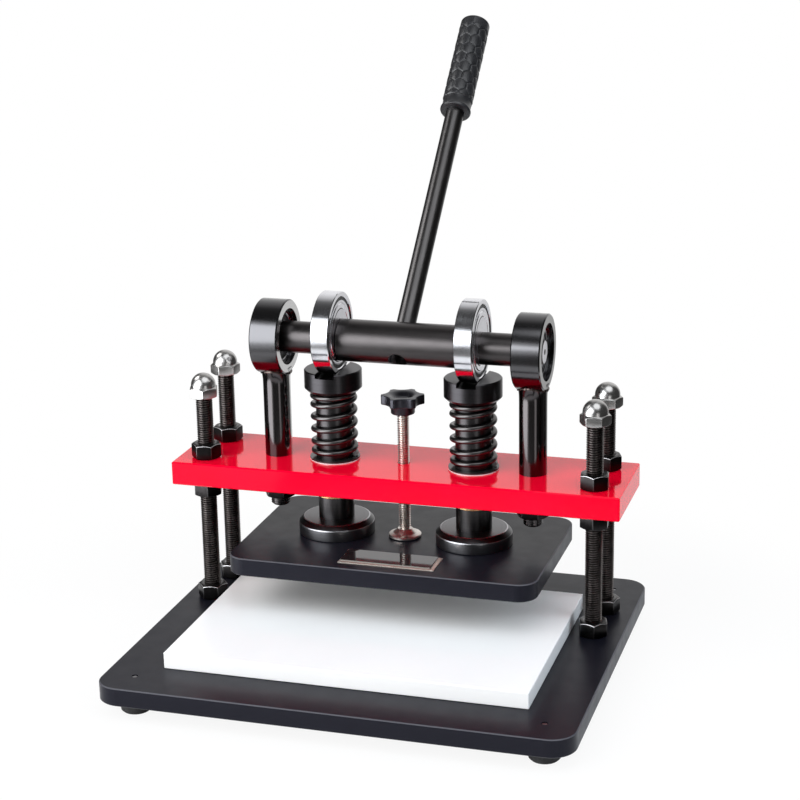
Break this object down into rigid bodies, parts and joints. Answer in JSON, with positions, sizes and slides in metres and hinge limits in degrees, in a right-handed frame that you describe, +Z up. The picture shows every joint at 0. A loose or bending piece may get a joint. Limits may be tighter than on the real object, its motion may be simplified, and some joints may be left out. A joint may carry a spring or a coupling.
{
  "type": "manual die cutting machine",
  "caption": "Hand-lever die cutting press: a leaning lever turns an eccentric shaft whose rollers push a sprung press plate down onto a white board on a footed base plate.",
  "frame": {"origin": "on the standing surface under the four feet, midway between the outermost points in X and Y", "axes": "+X to the right along the crossbeam, +Y to the back where the lever leans, +Z up"},
  "size_m": [0.38, 0.4717, 0.4962],
  "materials": {
    "black_coat": "satin black powder coat",
    "red_paint": "gloss red paint",
    "black_oxide": "black oxide on turned steel, lightly oiled",
    "chrome": "polished",
    "bearing_steel": "ground steel",
    "nickel": "nickel plate",
    "bronze": "bored bronze",
    "white_board": "sawn white plastic, satin",
    "black_rubber": "moulded black rubber",
    "knob_plastic": "moulded black plastic"
  },
  "bodies": {
    "base": {"base_plate": "black_coat", "rubber_feet": "black_rubber", "foot_screws": "bearing_steel", "column_front_left": "black_oxide", "column_front_right": "black_oxide", "column_back_left": "black_oxide", "column_back_right": "black_oxide", "base_nuts": "black_oxide", "cap_nuts": "chrome"},
    "board": {"cutting_board": "white_board"},
    "beam": {"crossbeam": "red_paint", "beam_lower_nuts": "black_oxide", "beam_upper_nuts": "black_oxide", "eye_post_left": "black_oxide", "eye_post_right": "black_oxide", "stud_washers": "black_oxide", "stud_nuts": "black_oxide", "guide_bush_left": "bronze", "guide_bush_right": "bronze", "spring_seats": "bearing_steel", "return_spring_left": "black_oxide", "return_spring_right": "black_oxide", "eye_bearing_outer_left": "bearing_steel", "eye_bearing_outer_right": "bearing_steel", "eye_bearing_seals": "black_rubber"},
    "lever": {"cam_shaft": "black_oxide", "lever_rod": "black_oxide", "hand_grip": "black_rubber", "eye_bearing_inner_left": "bearing_steel", "eye_bearing_inner_right": "bearing_steel", "eye_bearing_balls": "bearing_steel", "roller_inner_left": "bearing_steel", "roller_inner_right": "bearing_steel", "roller_balls_left": "bearing_steel", "roller_balls_right": "bearing_steel"},
    "roller_left": {"roller_outer_left": "chrome", "roller_seals_left": "black_rubber"},
    "roller_right": {"roller_outer_right": "chrome", "roller_seals_right": "black_rubber"},
    "press": {"press_plate": "black_coat", "plunger_rod_left": "black_oxide", "plunger_rod_right": "black_oxide", "plunger_cap_left": "black_oxide", "plunger_cap_right": "black_oxide", "plunger_flange_left": "black_oxide", "plunger_flange_right": "black_oxide", "plunger_bolts": "black_oxide"},
    "stop_foot": {"stop_foot": "nickel"},
    "stop_knob": {"stop_screw": "nickel", "star_knob": "knob_plastic"}
  },
  "joints": [
    {"name": "board_slide", "type": "slide", "parent": "base", "child": "board", "axis": [0, -1, 0], "range_m": [0, 0.12]},
    {"name": "beam_height", "type": "slide", "parent": "base", "child": "beam", "axis": [0, 0, 1], "range_m": [-0.02, 0.035]},
    {"name": "lever_swing", "type": "hinge", "parent": "beam", "child": "lever", "pos_m": [0, -0.0167, 0.2565], "axis": [1, 0, 0], "range_deg": [0, 130]},
    {"name": "roller_spin_left", "type": "hinge", "parent": "lever", "child": "roller_left", "pos_m": [-0.06, -0.0167, 0.2625], "axis": [1, 0, 0], "continuous": true},
    {"name": "roller_spin_right", "type": "hinge", "parent": "lever", "child": "roller_right", "pos_m": [0.06, -0.0167, 0.2625], "axis": [1, 0, 0], "continuous": true},
    {"name": "press_slide", "type": "slide", "parent": "beam", "child": "press", "axis": [0, 0, -1], "range_m": [0, 0.00986], "stiffness_N_per_m": 4000, "springref_m": -0.02, "deforming": ["return_spring_left", "return_spring_right"]},
    {"name": "stop_lift", "type": "slide", "parent": "beam", "child": "stop_foot", "axis": [0, 0, 1], "range_m": [0, 0.02]},
    {"name": "stop_turn", "type": "hinge", "parent": "stop_foot", "child": "stop_knob", "pos_m": [0, -0.0167, 0.154], "axis": [0, 0, 1], "range_deg": [0, 3610]}
  ],
  "couplings": [
    {"joint": "press_slide", "follows": "lever_swing", "m_per_rad": 0.0043442},
    {"joint": "stop_turn", "follows": "stop_lift", "rad_per_m": 3141.6}
  ]
}
